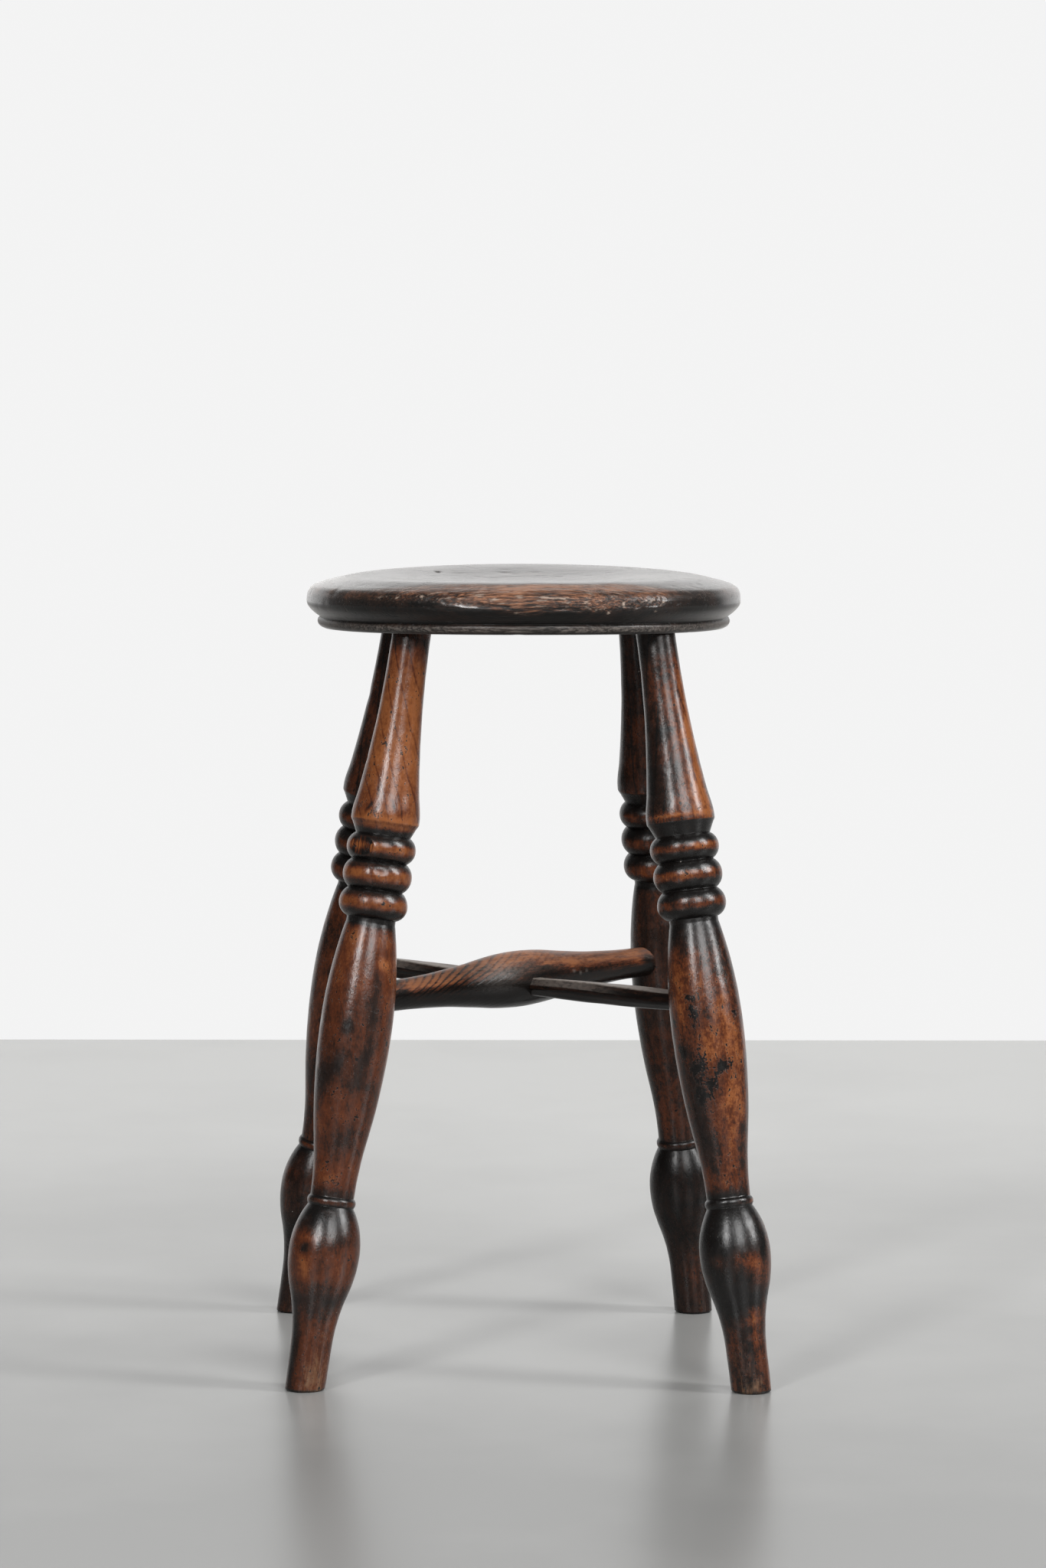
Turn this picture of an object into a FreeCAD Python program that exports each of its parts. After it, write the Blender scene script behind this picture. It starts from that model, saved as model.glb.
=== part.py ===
import FreeCAD, Part
import math
import os
from types import SimpleNamespace

import Sketcher

# Driving sizes in millimetres and degrees. A depth runs down a leg's axis from the seat's underside,
# and a rise runs up it from the floor. Directions are counted from +X towards +Y.
SIZES = {
    # Seat: a round plank with a rounded edge over a small bead, and a dished top
    "seat_underside_height": 557.5,
    "seat_thickness": 38.5,
    "seat_diameter": 330.0,
    "seat_edge_height": 19.5,
    "seat_bead_diameter": 313.2,
    "seat_bead_height": 6.2,
    "seat_bead_rounding": 3.6,
    "seat_quirk_diameter": 310.8,
    "seat_chamfer_diameter": 324.8,
    "seat_chamfer_height": 13.2,
    "seat_nose_diameter": 317.2,
    "seat_nose_height": 30.1,
    "seat_crest_diameter": 250.0,
    "seat_dish_floor": 32.0,
    "seat_dish_share": 0.3,
    "seat_offset_right": 5.9,
    "seat_offset_back": 1.4,
    "socket_depth": 26.0,
    # Clearances of every glued round joint: round the tenon, and at its end
    "glue_clearance": 0.1,
    "tenon_end_gap": 1.0,
    # Where each leg enters the seat, counted from the seat's centre, which way and how far its foot leans,
    # and how long its taper is: the stool was bored by eye, so no two legs agree
    "front_left_reach": 129.6,
    "front_left_azimuth": 229.9,
    "front_left_sight": 218.7,
    "front_left_rake": 10.2,
    "front_left_taper": 137.0,
    "front_right_reach": 134.7,
    "front_right_azimuth": 316.7,
    "front_right_sight": 313.7,
    "front_right_rake": 10.5,
    "front_right_taper": 137.3,
    "back_left_reach": 132.7,
    "back_left_azimuth": 135.2,
    "back_left_sight": 141.0,
    "back_left_rake": 11.4,
    "back_left_taper": 137.0,
    "back_right_reach": 131.3,
    "back_right_azimuth": 48.2,
    "back_right_sight": 53.5,
    "back_right_rake": 8.3,
    "back_right_taper": 131.0,
    # Turned leg, from the top down: tenon and taper, shoulder, three beads
    "leg_top_diameter": 29.0,
    "leg_collar": 4.0,
    "shoulder_diameter": 51.0,
    "shoulder_edge": 3.0,
    "shoulder_slope": 11.0,
    "groove_diameter": 40.8,
    "bead_diameter": 51.6,
    "upper_bead_length": 19.5,
    "middle_bead_length": 21.5,
    "lower_bead_length": 21.5,
    "neck_diameter": 36.4,
    "neck_length": 3.0,
    # Turned leg: vase body, ring, bulb and foot
    "vase_diameter": 53.6,
    "vase_swell_depth": 76.0,
    "vase_ogee_share": 0.68,
    "ring_neck_diameter": 32.6,
    "ring_diameter": 36.2,
    "ring_length": 7.0,
    "ring_rise": 141.0,
    "bulb_neck_diameter": 34.0,
    "bulb_diameter": 52.8,
    "bulb_rise": 103.5,
    "bulb_ogee_share": 0.4,
    "ankle_diameter": 30.4,
    "ankle_rise": 30.5,
    "sole_diameter": 29.2,
    "sole_trim": 12.0,
    # Stretchers: how far their sockets run past a leg's axis, and where the plain ends stop
    "stretcher_socket_past_axis": 6.0,
    "stretcher_plain_end": 30.0,
    "main_stretcher_height": 287.0,
    "main_stretcher_end_diameter": 23.0,
    "main_stretcher_swell_diameter": 42.6,
    "main_stretcher_ogee_share": 0.28,
    "half_stretcher_height": 285.0,
    "half_stretcher_drop": 4.0,
    "half_stretcher_end_diameter": 15.4,
    "half_stretcher_swell_diameter": 17.0,
    "half_socket_core": 4.0,
    "half_stretcher_inner_plain_end": 24.0,
}

CORNERS = ("front_left", "front_right", "back_left", "back_right")
UP = FreeCAD.Vector(0, 0, 1)

# How a sketch counts an edge's points, and its own origin and axes
START, END, CENTRE = 1, 2, 3
BASE_LINE, TURNING_AXIS = -1, -2
ORIGIN = (-1, START)


class Length:
    """A number together with the formula that gives it from the sheets."""

    def __init__(self, number, formula):
        self.number = number
        self.formula = formula

    def __add__(self, other):
        return Length(self.number + other.number, f"({self.formula} + {other.formula})")

    def __sub__(self, other):
        return Length(self.number - other.number, f"({self.formula} - {other.formula})")

    def __mul__(self, other):
        return Length(self.number * other.number, f"({self.formula} * {other.formula})")

    def half(self):
        return Length(self.number / 2, f"({self.formula} / 2)")


ZERO = Length(0.0, "0")
WHOLE = Length(1.0, "1")


def fill_sheet(doc, name, numbers):
    """Put each number in a cell with its own alias, and return the cells as lengths."""
    sheet = doc.addObject("Spreadsheet::Sheet", name)
    lengths = {}
    for row, (alias, number) in enumerate(numbers.items(), start=1):
        sheet.set(f"A{row}", alias)
        sheet.set(f"B{row}", str(number))
        sheet.setAlias(f"B{row}", alias)
        lengths[alias] = Length(number, f"{name}.{alias}")
    doc.recompute()
    return SimpleNamespace(**lengths)


def along(point, direction):
    """Placement whose Z axis starts at a point and runs in a direction."""
    return FreeCAD.Placement(point, FreeCAD.Rotation(UP, direction))


def leg_line(corner):
    """Line of a leg's axis: its socket's mouth, its direction downwards and its length to the floor."""
    azimuth = math.radians(SIZES[f"{corner}_azimuth"])
    sight = math.radians(SIZES[f"{corner}_sight"])
    rake = math.radians(SIZES[f"{corner}_rake"])
    reach = SIZES[f"{corner}_reach"]
    height = SIZES["seat_underside_height"]
    mouth = FreeCAD.Vector(
        SIZES["seat_offset_right"] + reach * math.cos(azimuth),
        SIZES["seat_offset_back"] + reach * math.sin(azimuth),
        height,
    )
    down = FreeCAD.Vector(
        math.sin(rake) * math.cos(sight),
        math.sin(rake) * math.sin(sight),
        -math.cos(rake),
    )
    return SimpleNamespace(mouth=mouth, down=down, length=height / math.cos(rake))


def point_on_leg(leg, height):
    """Point of a leg's axis at a height above the floor."""
    return leg.mouth + leg.down * ((leg.mouth.z - height) / -leg.down.z)


def stretcher_line(start, end):
    """Line of a stretcher's axis between two points."""
    span = end - start
    return SimpleNamespace(start=start, end=end, direction=span / span.Length, length=span.Length)


class Profile:
    """Half section of a turned piece: a closed outline on the XZ plane, with Z as the turning axis."""

    def __init__(self, body, radius, height):
        plane = next(item for item in body.Origin.OriginFeatures if item.Role == "XZ_Plane")
        self.body = body
        self.sketch = body.newObject("Sketcher::SketchObject", f"{body.Name}_profile")
        self.sketch.AttachmentSupport = [(plane, "")]
        self.sketch.MapMode = "FlatFace"
        self.corner = (radius, height)
        self.first_end = None
        self.last_end = None

    def bind(self, kind, place, length):
        """Add a dimension and bind it to its formula."""
        index = self.sketch.addConstraint(Sketcher.Constraint(kind, *place, length.number))
        self.sketch.setExpression(f"Constraints[{index}]", length.formula)

    def pin(self, edge, end, radius, height):
        """Fix one end of an edge by its radius and its height."""
        if radius is ZERO:
            self.sketch.addConstraint(Sketcher.Constraint("PointOnObject", edge, end, TURNING_AXIS))
        else:
            self.bind("DistanceX", (*ORIGIN, edge, end), radius)
        if height is ZERO:
            self.sketch.addConstraint(Sketcher.Constraint("PointOnObject", edge, end, BASE_LINE))
        else:
            self.bind("DistanceY", (*ORIGIN, edge, end), height)

    def join(self, edge, start, end):
        """Hang an edge's start on the outline's last point, and remember its end."""
        if self.last_end is None:
            self.first_end = (edge, start)
        else:
            self.sketch.addConstraint(Sketcher.Constraint("Coincident", *self.last_end, edge, start))
        self.last_end = (edge, end)

    def line_to(self, radius, height):
        """Draw a straight edge to a pinned point."""
        first = FreeCAD.Vector(self.corner[0].number, self.corner[1].number, 0)
        second = FreeCAD.Vector(radius.number, height.number, 0)
        edge = self.sketch.addGeometry(Part.LineSegment(first, second))
        if self.last_end is None:
            self.pin(edge, START, *self.corner)
        self.join(edge, START, END)
        self.pin(edge, END, radius, height)
        self.corner = (radius, height)

    def arc(self, centre, first, second):
        """Draw the shorter arc round a centre from one point to another, and return it with its ends."""
        first_angle = math.atan2(first.y - centre.y, first.x - centre.x)
        second_angle = math.atan2(second.y - centre.y, second.x - centre.x)
        sweep = (second_angle - first_angle + math.pi) % (2 * math.pi) - math.pi
        circle = Part.Circle(centre, UP, (first - centre).Length)
        start, end = (START, END) if sweep > 0 else (END, START)
        low = first_angle if sweep > 0 else second_angle
        edge = self.sketch.addGeometry(Part.ArcOfCircle(circle, low, low + abs(sweep)))
        self.join(edge, start, end)
        return edge, start, end

    def curve_to(self, radius, height, level="", plumb=""):
        """Draw an arc to a pinned point. With its centre level with its start or end, as asked, it runs
        along the turning axis there, and with its centre plumb with that end it runs across the axis."""
        first = FreeCAD.Vector(self.corner[0].number, self.corner[1].number, 0)
        second = FreeCAD.Vector(radius.number, height.number, 0)
        set_end = level or plumb
        near, far = (first, second) if set_end == "start" else (second, first)
        normal = FreeCAD.Vector(1, 0, 0) if level else FreeCAD.Vector(0, 1, 0)
        reach = (far - near).Length ** 2 / (2 * (far - near).dot(normal))
        edge, start, end = self.arc(near + normal * reach, first, second)
        line_up = "Horizontal" if level else "Vertical"
        arc_end = start if set_end == "start" else end
        self.sketch.addConstraint(Sketcher.Constraint(line_up, edge, CENTRE, edge, arc_end))
        self.pin(edge, end, radius, height)
        self.corner = (radius, height)

    def ogee_to(self, radius, height, share, across=False):
        """Draw two arcs that meet smoothly on their chord, at a share of its length. Their outer ends run
        along the turning axis, or across it."""
        middle_radius = self.corner[0] + (radius - self.corner[0]) * share
        middle_height = self.corner[1] + (height - self.corner[1]) * share
        way = "plumb" if across else "level"
        self.curve_to(middle_radius, middle_height, **{way: "start"})
        self.curve_to(radius, height, **{way: "end"})

    def turn(self):
        """Close the outline along the axis and turn it into a solid."""
        first = FreeCAD.Vector(self.corner[0].number, self.corner[1].number, 0)
        second = self.sketch.getPoint(*self.first_end)
        edge = self.sketch.addGeometry(Part.LineSegment(first, second))
        self.join(edge, START, END)
        self.sketch.addConstraint(Sketcher.Constraint("Coincident", edge, END, *self.first_end))
        solid = self.body.newObject("PartDesign::Revolution", f"{self.body.Name}_turning")
        solid.Profile = self.sketch
        solid.ReferenceAxis = (self.sketch, ["V_Axis"])
        solid.Angle = 360
        self.body.Document.recompute()


def new_body(doc, name, placement):
    """Make an empty body at its place in the stool."""
    body = doc.addObject("PartDesign::Body", name)
    body.Label = name
    body.Placement = placement
    return body


def drill(body, name, mouth, direction, diameter, depth, clearance, run_out):
    """Bore a round blind socket into a body, from run_out before the mouth to a depth past it."""
    hole = body.newObject("PartDesign::SubtractiveCylinder", name)
    hole.setExpression("Radius", f"{diameter.formula} / 2 + {clearance.formula}")
    hole.setExpression("Height", f"{run_out.formula} + {depth.formula}")
    start = mouth - direction * run_out.number
    hole.Placement = body.Placement.inverse() * along(start, direction)
    body.Document.recompute()
    if hole.Shape.Volume >= hole.BaseFeature.Shape.Volume:
        raise RuntimeError(f"{name} cuts nothing")


def make_seat(doc, sizes, legs):
    """Round dished plank with four raked blind sockets in its underside."""
    centre = FreeCAD.Vector(
        sizes.seat_offset_right.number,
        sizes.seat_offset_back.number,
        sizes.seat_underside_height.number,
    )
    body = new_body(doc, "seat", along(centre, UP))
    bead_radius = sizes.seat_bead_diameter.half()
    profile = Profile(body, ZERO, ZERO)
    profile.line_to(bead_radius - sizes.seat_bead_rounding, ZERO)
    profile.curve_to(bead_radius, sizes.seat_bead_rounding, level="end")
    profile.curve_to(sizes.seat_quirk_diameter.half(), sizes.seat_bead_height, level="start")
    profile.line_to(sizes.seat_chamfer_diameter.half(), sizes.seat_chamfer_height)
    profile.curve_to(sizes.seat_diameter.half(), sizes.seat_edge_height, level="end")
    profile.curve_to(sizes.seat_nose_diameter.half(), sizes.seat_nose_height, level="start")
    profile.curve_to(sizes.seat_crest_diameter.half(), sizes.seat_thickness, plumb="end")
    profile.ogee_to(ZERO, sizes.seat_dish_floor, sizes.seat_dish_share, across=True)
    profile.turn()
    for corner, leg in legs.items():
        drill(
            body,
            f"{corner}_seat_socket",
            leg.mouth,
            -leg.down,
            sizes.leg_top_diameter,
            sizes.socket_depth,
            sizes.glue_clearance,
            sizes.leg_top_diameter,
        )
    return body


def draw_leg(profile, sizes, taper, length):
    """Outline of a turned leg from its tenon to its untrimmed foot."""
    top_radius = sizes.leg_top_diameter.half()
    groove_radius = sizes.groove_diameter.half()
    bead_radius = sizes.bead_diameter.half()
    neck_radius = sizes.neck_diameter.half()
    shoulder_radius = sizes.shoulder_diameter.half()
    profile.line_to(top_radius, profile.corner[1])
    profile.line_to(top_radius, sizes.leg_collar)
    profile.curve_to(shoulder_radius, taper, level="start")
    depth = taper + sizes.shoulder_edge
    profile.line_to(shoulder_radius, depth)
    depth = depth + sizes.shoulder_slope
    profile.line_to(groove_radius, depth)
    beads = (
        (sizes.upper_bead_length, groove_radius),
        (sizes.middle_bead_length, groove_radius),
        (sizes.lower_bead_length, neck_radius),
    )
    for bead_length, lower_radius in beads:
        profile.curve_to(bead_radius, depth + bead_length.half(), level="end")
        depth = depth + bead_length
        profile.curve_to(lower_radius, depth, level="start")
    depth = depth + sizes.neck_length
    profile.line_to(neck_radius, depth)
    profile.curve_to(sizes.vase_diameter.half(), depth + sizes.vase_swell_depth, level="end")
    ring_depth = length - sizes.ring_rise
    ring_top = ring_depth - sizes.ring_length.half()
    ring_foot = ring_depth + sizes.ring_length.half()
    profile.ogee_to(sizes.ring_neck_diameter.half(), ring_top, sizes.vase_ogee_share)
    profile.curve_to(sizes.ring_diameter.half(), ring_depth, level="end")
    profile.curve_to(sizes.bulb_neck_diameter.half(), ring_foot, level="start")
    profile.curve_to(sizes.bulb_diameter.half(), length - sizes.bulb_rise, level="end")
    ankle_depth = length - sizes.ankle_rise
    profile.ogee_to(sizes.ankle_diameter.half(), ankle_depth, sizes.bulb_ogee_share)
    profile.line_to(sizes.sole_diameter.half(), length + sizes.sole_trim)
    profile.line_to(ZERO, length + sizes.sole_trim)


def saw_sole(body, sizes, foot):
    """Saw the foot off level with the floor."""
    block = body.newObject("PartDesign::SubtractiveBox", f"{body.Name}_sole_cut")
    side = sizes.bulb_diameter + sizes.bulb_diameter
    depth = sizes.sole_trim + sizes.sole_trim
    block.setExpression("Length", side.formula)
    block.setExpression("Width", side.formula)
    block.setExpression("Height", depth.formula)
    corner = foot - FreeCAD.Vector(side.half().number, side.half().number, depth.number)
    block.Placement = body.Placement.inverse() * along(corner, UP)
    body.Document.recompute()
    if block.Shape.Volume >= block.BaseFeature.Shape.Volume:
        raise RuntimeError(f"{block.Name} cuts nothing")


def make_leg(doc, sizes, layout, corner, leg, stretcher, end_diameter):
    """Turned leg with a round tenon, a level sole and a blind socket for one stretcher."""
    body = new_body(doc, f"{corner}_leg", along(leg.mouth, leg.down))
    taper = getattr(sizes, f"{corner}_taper")
    length = getattr(layout, f"{corner}_length")
    profile = Profile(body, ZERO, sizes.tenon_end_gap - sizes.socket_depth)
    draw_leg(profile, sizes, taper, length)
    profile.turn()
    saw_sole(body, sizes, point_on_leg(leg, 0))
    drill(
        body,
        f"{corner}_stretcher_socket",
        stretcher.mouth,
        stretcher.inward,
        end_diameter,
        sizes.stretcher_socket_past_axis,
        sizes.glue_clearance,
        sizes.vase_diameter,
    )
    return body


def make_main_stretcher(doc, sizes, layout, line, halves):
    """Turned stretcher with a swelling at its middle, which holds both half stretchers."""
    body = new_body(doc, "main_stretcher", along(line.start, line.direction))
    end_radius = sizes.main_stretcher_end_diameter.half()
    swell_radius = sizes.main_stretcher_swell_diameter.half()
    span = layout.main_stretcher_span
    tenon = sizes.stretcher_socket_past_axis - sizes.tenon_end_gap
    share = sizes.main_stretcher_ogee_share
    profile = Profile(body, ZERO, ZERO - tenon)
    profile.line_to(end_radius, ZERO - tenon)
    profile.line_to(end_radius, sizes.stretcher_plain_end)
    profile.ogee_to(swell_radius, span.half(), WHOLE - share)
    profile.ogee_to(end_radius, span - sizes.stretcher_plain_end, share)
    profile.line_to(end_radius, span + tenon)
    profile.line_to(ZERO, span + tenon)
    profile.turn()
    for corner, half in halves.items():
        drill(
            body,
            f"{corner}_half_socket",
            half.end - half.direction * sizes.half_socket_core.number,
            half.direction,
            sizes.half_stretcher_end_diameter,
            ZERO,
            sizes.glue_clearance,
            sizes.main_stretcher_swell_diameter,
        )
    return body


def make_half_stretcher(doc, sizes, name, line, span):
    """Slim stretcher from a leg to the middle of the main stretcher."""
    body = new_body(doc, name, along(line.start, line.direction))
    end_radius = sizes.half_stretcher_end_diameter.half()
    swell_radius = sizes.half_stretcher_swell_diameter.half()
    tenon = sizes.stretcher_socket_past_axis - sizes.tenon_end_gap
    inner_end = span - sizes.half_socket_core - sizes.tenon_end_gap
    inner_plain = span - sizes.half_stretcher_inner_plain_end
    middle = (sizes.stretcher_plain_end + inner_plain).half()
    profile = Profile(body, ZERO, ZERO - tenon)
    profile.line_to(end_radius, ZERO - tenon)
    profile.line_to(end_radius, sizes.stretcher_plain_end)
    profile.curve_to(swell_radius, middle, level="end")
    profile.curve_to(end_radius, inner_plain, level="start")
    profile.line_to(end_radius, inner_end)
    profile.line_to(ZERO, inner_end)
    profile.turn()
    return body


def check(doc, bodies):
    """Stop if any object failed or any piece is not one sound solid."""
    for item in doc.Objects:
        if "Invalid" in item.State or "Error" in item.State:
            raise RuntimeError(f"{item.Label} failed: {item.State}")
    for body in bodies:
        shape = body.Shape
        if shape.isNull() or not shape.isValid() or len(shape.Solids) != 1:
            raise RuntimeError(f"{body.Label} is not one valid solid")


def main():
    doc = FreeCAD.newDocument("windsor_stool")
    sizes = fill_sheet(doc, "Sizes", SIZES)
    legs = {corner: leg_line(corner) for corner in CORNERS}

    # The main stretcher joins two opposite legs, and a half stretcher joins each other leg to it
    main_height = SIZES["main_stretcher_height"]
    half_height = SIZES["half_stretcher_height"]
    main_line = stretcher_line(
        point_on_leg(legs["front_left"], main_height),
        point_on_leg(legs["back_right"], main_height),
    )
    drop = UP * SIZES["half_stretcher_drop"]
    meeting_point = (main_line.start + main_line.end) / 2 - drop
    halves = {
        corner: stretcher_line(point_on_leg(legs[corner], half_height), meeting_point)
        for corner in ("front_right", "back_left")
    }

    # Lengths that follow from the layout
    worked_out = {f"{corner}_length": leg.length for corner, leg in legs.items()}
    worked_out["main_stretcher_span"] = main_line.length
    for corner, half in halves.items():
        worked_out[f"{corner}_half_span"] = half.length
    layout = fill_sheet(doc, "Layout", worked_out)

    # Where each leg takes its stretcher, the way the socket is bored, and the stretcher's end size
    main_end = sizes.main_stretcher_end_diameter
    half_end = sizes.half_stretcher_end_diameter
    joints = {
        "front_left": (main_line.start, -main_line.direction, main_end),
        "back_right": (main_line.end, main_line.direction, main_end),
        "front_right": (halves["front_right"].start, -halves["front_right"].direction, half_end),
        "back_left": (halves["back_left"].start, -halves["back_left"].direction, half_end),
    }

    bodies = [make_seat(doc, sizes, legs)]
    for corner, leg in legs.items():
        mouth, inward, end_diameter = joints[corner]
        stretcher = SimpleNamespace(mouth=mouth, inward=inward)
        bodies.append(make_leg(doc, sizes, layout, corner, leg, stretcher, end_diameter))
    bodies.append(make_main_stretcher(doc, sizes, layout, main_line, halves))
    for corner, half in halves.items():
        span = getattr(layout, f"{corner}_half_span")
        bodies.append(make_half_stretcher(doc, sizes, f"{corner}_half_stretcher", half, span))

    doc.recompute()
    check(doc, bodies)
    os.makedirs("parts", exist_ok=True)
    for body in bodies:
        body.Shape.exportStep(f"parts/{body.Label}.step")


main()
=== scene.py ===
import itertools
import math

import bpy
import numpy as np
from mathutils import Euler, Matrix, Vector


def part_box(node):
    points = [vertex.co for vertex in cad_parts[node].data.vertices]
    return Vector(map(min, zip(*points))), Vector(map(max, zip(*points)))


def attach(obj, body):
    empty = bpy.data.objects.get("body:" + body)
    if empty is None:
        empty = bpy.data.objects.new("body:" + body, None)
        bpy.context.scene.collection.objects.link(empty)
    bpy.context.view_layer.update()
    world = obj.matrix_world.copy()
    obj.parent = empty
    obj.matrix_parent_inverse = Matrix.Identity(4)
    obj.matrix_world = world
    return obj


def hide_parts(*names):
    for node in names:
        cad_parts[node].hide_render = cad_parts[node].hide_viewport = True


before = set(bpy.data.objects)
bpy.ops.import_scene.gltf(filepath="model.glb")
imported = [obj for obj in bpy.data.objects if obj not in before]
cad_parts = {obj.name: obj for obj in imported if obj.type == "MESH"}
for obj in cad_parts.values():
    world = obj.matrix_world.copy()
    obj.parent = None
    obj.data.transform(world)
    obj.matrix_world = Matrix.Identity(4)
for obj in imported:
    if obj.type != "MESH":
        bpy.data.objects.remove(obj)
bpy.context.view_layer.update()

MM = 0.001
TINY = 1e-12
RIGHT = np.array([1.0, 0, 0])
BACK = np.array([0, 1.0, 0])
UP = np.array([0, 0, 1.0])

# Photograph's frame and the camera that took it
IMAGE_WIDTH, IMAGE_HEIGHT = 1366, 2048
LENS, SENSOR = 135.0, 36.0
CAMERA_PLACE = (0.0059, -4.4658, 0.8421)
CAMERA_TURN = (math.pi / 2 - 0.0905, -0.00105, 0.00018)

# Fineness of the new surfaces
LEG_SIDES = 144
STRETCHER_SIDES = 96
ROW_STEP = 1.4 * MM
ROW_TURN = math.radians(9)
CORNER = math.radians(32)
SHARP_EDGE = math.radians(60)

# Reading a turned outline off its CAD node: rounds and outliers of fitting its axis, how its faces have to
# look, the length of a cell, and the share of the radii in reach under which a point is in a socket
AXIS_ROUNDS = 6
AXIS_OUTLIER = 4.0
OUTWARD = 0.05
ASKEW = 0.12
CELL = 0.25 * MM
SOCKET_SHARE = 0.55
SOCKET_REACH = 8.0 * MM

# Random numbers that all noise is made from
LATTICE_SIDE = 64
LATTICE = np.random.default_rng(11).uniform(-1, 1, (LATTICE_SIDE,) * 3)


def noise(points, scale, shift=0.0):
    """Smooth noise from -1 to 1 at each point, with scale cells to a metre, one number or one per axis."""
    spots = points * np.asarray(scale) + shift
    cell = np.floor(spots).astype(int)
    ease = spots - cell
    ease = ease * ease * (3 - 2 * ease)
    total = np.zeros(points.shape[:-1])
    for corner in itertools.product((0, 1), repeat=3):
        at = (cell + corner) % LATTICE_SIDE
        share = np.prod(np.where(corner, ease, 1 - ease), axis=-1)
        total += share * LATTICE[at[..., 0], at[..., 1], at[..., 2]]
    return total


def smooth_step(values, low, high):
    """0 below low, 1 above high, with an eased rise between them."""
    share = np.clip((values - low) / (high - low), 0, 1)
    return share * share * (3 - 2 * share)


def window(values, rise_start, rise_end, fall_start, fall_end):
    """1 between an eased rise and an eased fall, and 0 beyond them."""
    return smooth_step(values, rise_start, rise_end) * smooth_step(-values, -fall_end, -fall_start)


def bell(values, middle, half_width):
    """1 at a middle, with a bell's fall to both sides."""
    return np.exp(-(((values - middle) / half_width) ** 2))


def smoothed(values, width):
    """Values averaged over a bell of a width in samples, with their ends held."""
    reach = int(3 * width) + 1
    weights = np.exp(-0.5 * (np.arange(-reach, reach + 1) / width) ** 2)
    padded = np.pad(values, reach, mode="edge")
    return np.convolve(padded, weights / weights.sum(), mode="valid")


def read(items, what, width=3, kind=float):
    """A value of each of a mesh's items, one row to an item."""
    values = np.empty(len(items) * width, dtype=kind)
    items.foreach_get(what, values)
    return values.reshape(-1, width)


def surface_of(node):
    """A CAD node's points, its triangles' corners, and their centres, normals and areas."""
    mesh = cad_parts[node].data
    points = read(mesh.vertices, "co")
    corners = read(mesh.polygons, "vertices", kind=np.int32)
    centres = read(mesh.polygons, "center")
    normals = read(mesh.polygons, "normal")
    areas = read(mesh.polygons, "area", width=1)
    return points, corners, centres, normals, areas[:, 0]


def fit_axis(centres, normals, areas):
    """The line that the normals of a turned surface all meet: a point on it, and its direction."""
    middle = centres.mean(axis=0)
    reach = np.abs(centres - middle).max()
    rows = np.hstack([np.cross((centres - middle) / reach, normals), normals])
    weights = np.sqrt(areas)
    for _ in range(AXIS_ROUNDS):
        line = np.linalg.svd(rows * weights[:, None], full_matrices=False)[2][-1]
        miss = np.abs(rows @ line)
        weights = np.sqrt(areas) * (miss < AXIS_OUTLIER * np.median(miss))
    direction, moment = line[:3], line[3:]
    size = np.linalg.norm(direction)
    return np.cross(direction, moment) / size**2 * reach + middle, direction / size


def hermite(at, knots, values):
    """Smooth curve through knots that never overshoots them, with corners where its slope turns sharply."""
    steps = np.diff(knots)
    slopes = np.diff(values) / steps
    before, after = slopes[:-1], slopes[1:]
    agree = before * after > 0
    total = np.where(agree, before + after, 1)
    inner = np.where(agree, 2 * before * after / total, 0)
    corner = np.abs(np.arctan(after) - np.arctan(before)) > CORNER
    leaving = np.concatenate([slopes[:1], np.where(corner, after, inner)])
    arriving = np.concatenate([np.where(corner, before, inner), slopes[-1:]])
    index = np.clip(np.searchsorted(knots, at) - 1, 0, len(steps) - 1)
    share = np.clip((at - knots[index]) / steps[index], 0, 1)
    rise = share * share * (3 - 2 * share)
    lead = share * (1 - share) ** 2 * steps[index] * leaving[index]
    trail = share * share * (share - 1) * steps[index] * arriving[index]
    return values[index] + rise * (values[index + 1] - values[index]) + lead + trail


def turned_outline(node, way, lead):
    """A turned CAD node's own frame, Z along its axis, with its outline as depths and radii.

    Z runs the way asked, and Y leans towards lead."""
    points, corners, centres, normals, areas = surface_of(node)
    origin, axis = fit_axis(centres, normals, areas)
    axis = axis if axis @ way > 0 else -axis
    arms = centres - origin
    arms = arms - np.outer(arms @ axis, axis)
    arms /= np.linalg.norm(arms, axis=1)[:, None]
    outward = (arms * normals).sum(axis=1) > OUTWARD
    square = np.abs((np.cross(axis, arms) * normals).sum(axis=1)) < ASKEW
    outer = points[np.unique(corners[outward & square])] - origin
    depths = outer @ axis
    radii = np.linalg.norm(outer - np.outer(depths, axis), axis=1)
    start = depths.min()
    cells = np.round((depths - start) / CELL).astype(int)
    rising = np.argsort(radii)
    widest = np.full(cells.max() + 1, -1)
    widest[cells[rising]] = rising
    size = np.where(widest < 0, 0, radii[widest])
    reach = int(SOCKET_REACH / CELL)
    knots = [
        widest[cell] for cell in np.flatnonzero(size)
        if size[cell] > SOCKET_SHARE * size[max(0, cell - reach):cell + reach + 1].max()
    ]
    across = np.cross(lead, axis)
    across /= np.linalg.norm(across)
    place = np.eye(4)
    place[:3, 0] = across
    place[:3, 1] = np.cross(axis, across)
    place[:3, 2] = axis
    place[:3, 3] = origin + axis * start
    return place, depths[knots] - start, radii[knots]


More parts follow.
